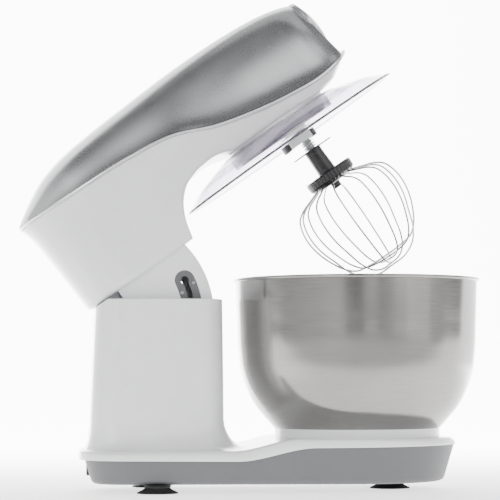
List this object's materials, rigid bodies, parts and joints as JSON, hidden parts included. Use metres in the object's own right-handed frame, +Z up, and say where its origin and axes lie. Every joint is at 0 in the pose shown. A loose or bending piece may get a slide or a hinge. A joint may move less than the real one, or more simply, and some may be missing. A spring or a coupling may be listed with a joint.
{
  "type": "stand mixer",
  "caption": "Tilt-head stand mixer with a stainless bowl, clear splash guard and wire whisk; the head hinges on a column and drives the whisk through a planetary gear.",
  "frame": {"origin": "on the table under the middle of the whole mixer with its head raised", "axes": "+X from the column to the bowl and nose, +Y to the knob side, +Z up"},
  "size_m": [0.4361, 0.2336, 0.46],
  "materials": {
    "white_plastic": "moulded, satin gloss",
    "grey_plastic": "moulded, fine matt",
    "black_rubber": "moulded rubber",
    "dark_plastic": "moulded, matt",
    "black_plastic": "moulded, satin",
    "silver_paint": "satin silver lacquer",
    "bright_trim": "bright silver edge",
    "chrome_plate": "polished chrome plating",
    "brushed_stainless": "spun and brushed inside and out",
    "stainless_wire": "drawn stainless wire",
    "zinc_steel": "zinc plated",
    "clear_plastic": "clear moulded plastic with a faint tint",
    "nylon": "natural nylon",
    "die_cast": "die cast",
    "bronze": "sintered bronze",
    "copper": "copper windings and laminations",
    "ferrite": "sintered ferrite and carbon",
    "circuit_board": "green laminate"
  },
  "bodies": {
    "base": {"base_housing": "white_plastic", "base_tub": "grey_plastic", "suction_feet": "black_rubber", "screw_bosses": "grey_plastic", "base_screws": "zinc_steel", "bowl_seat": "dark_plastic", "hinge_bracket": "zinc_steel", "hinge_pin": "zinc_steel", "hinge_clips": "zinc_steel", "lock_guide": "dark_plastic", "dial_ring": "silver_paint", "rotary_switch": "dark_plastic", "control_board": "circuit_board", "board_capacitor": "dark_plastic", "cord_gland": "black_rubber"},
    "lock": {"lock_pin": "zinc_steel", "release_button": "dark_plastic", "lock_spring": "zinc_steel"},
    "knob": {"speed_knob": "silver_paint"},
    "bowl": {"mixing_bowl": "brushed_stainless", "bowl_foot": "brushed_stainless"},
    "head": {"head_lower_housing": "white_plastic", "head_top_cover": "silver_paint", "trim_band": "bright_trim", "nose_bezel": "silver_paint", "nose_cap": "chrome_plate", "hinge_arms": "zinc_steel", "tongue": "white_plastic", "lock_plates": "grey_plastic", "plate_screws": "zinc_steel", "guard_mount_ring": "white_plastic", "ring_gear": "nylon", "gearbox_lower_plate": "die_cast", "gearbox_upper_plate": "die_cast", "gearbox_pillars": "die_cast", "gearbox_screws": "zinc_steel", "spindle_bushes": "bronze", "idler_axle": "zinc_steel", "motor_can": "zinc_steel", "motor_magnets": "ferrite", "motor_end_cap": "dark_plastic", "motor_brushes": "ferrite"},
    "rotor": {"motor_shaft": "zinc_steel", "armature": "copper", "commutator": "copper", "motor_pinion": "bronze"},
    "idler": {"idler_gear": "nylon"},
    "planet": {"spindle": "zinc_steel", "spindle_gear": "nylon", "carrier": "dark_plastic", "output_boss": "white_plastic", "boss_ring": "dark_plastic"},
    "beater": {"beater_shaft": "zinc_steel", "beater_pinion": "bronze", "cross_pin": "zinc_steel", "whisk_spring": "zinc_steel"},
    "whisk": {"whisk_sleeve": "black_plastic", "whisk_dish": "black_plastic", "whisk_wires": "stainless_wire"},
    "guard": {"splash_guard": "clear_plastic"}
  },
  "joints": [
    {"name": "head_tilt", "type": "hinge", "parent": "base", "child": "head", "pos_m": [-0.131, 0, 0.163], "axis": [0, 1, 0], "range_deg": [0, 35]},
    {"name": "lock_release", "type": "slide", "parent": "base", "child": "lock", "axis": [0, -1, 0], "range_m": [0, 0.0035], "stiffness_N_per_m": 600, "springref_m": -0.003, "deforming": ["lock_spring"]},
    {"name": "speed_turn", "type": "hinge", "parent": "base", "child": "knob", "pos_m": [-0.088, 0.07, 0.105], "axis": [0, 1, 0], "range_deg": [-30, 210]},
    {"name": "bowl_twist", "type": "hinge", "parent": "base", "child": "bowl", "pos_m": [0.101, 0, 0.1], "axis": [0, 0, 1], "range_deg": [0, 30]},
    {"name": "guard_twist", "type": "hinge", "parent": "head", "child": "guard", "pos_m": [0.03209, 0, 0.33457], "axis": [-0.5736, 0, 0.8192], "range_deg": [0, 18]},
    {"name": "planet_spin", "type": "hinge", "parent": "head", "child": "planet", "pos_m": [0.03209, 0, 0.33457], "axis": [-0.5736, 0, 0.8192], "continuous": true},
    {"name": "idler_spin", "type": "hinge", "parent": "head", "child": "idler", "pos_m": [-0.02772, 0, 0.34153], "axis": [-0.5736, 0, 0.8192], "continuous": true},
    {"name": "motor_spin", "type": "hinge", "parent": "head", "child": "rotor", "pos_m": [-0.05803, 0, 0.3203], "axis": [-0.5736, 0, 0.8192], "continuous": true},
    {"name": "beater_spin", "type": "hinge", "parent": "planet", "child": "beater", "pos_m": [0.05011, 0, 0.33498], "axis": [-0.5736, 0, 0.8192], "continuous": true},
    {"name": "whisk_push", "type": "slide", "parent": "beater", "child": "whisk", "axis": [-0.5736, 0, 0.8192], "range_m": [0, 0.005], "stiffness_N_per_m": 500, "springref_m": -0.006, "deforming": ["whisk_spring"]}
  ],
  "couplings": [
    {"joint": "idler_spin", "follows": "planet_spin", "ratio": -5},
    {"joint": "motor_spin", "follows": "planet_spin", "ratio": 32},
    {"joint": "beater_spin", "follows": "planet_spin", "ratio": -3.1429}
  ]
}
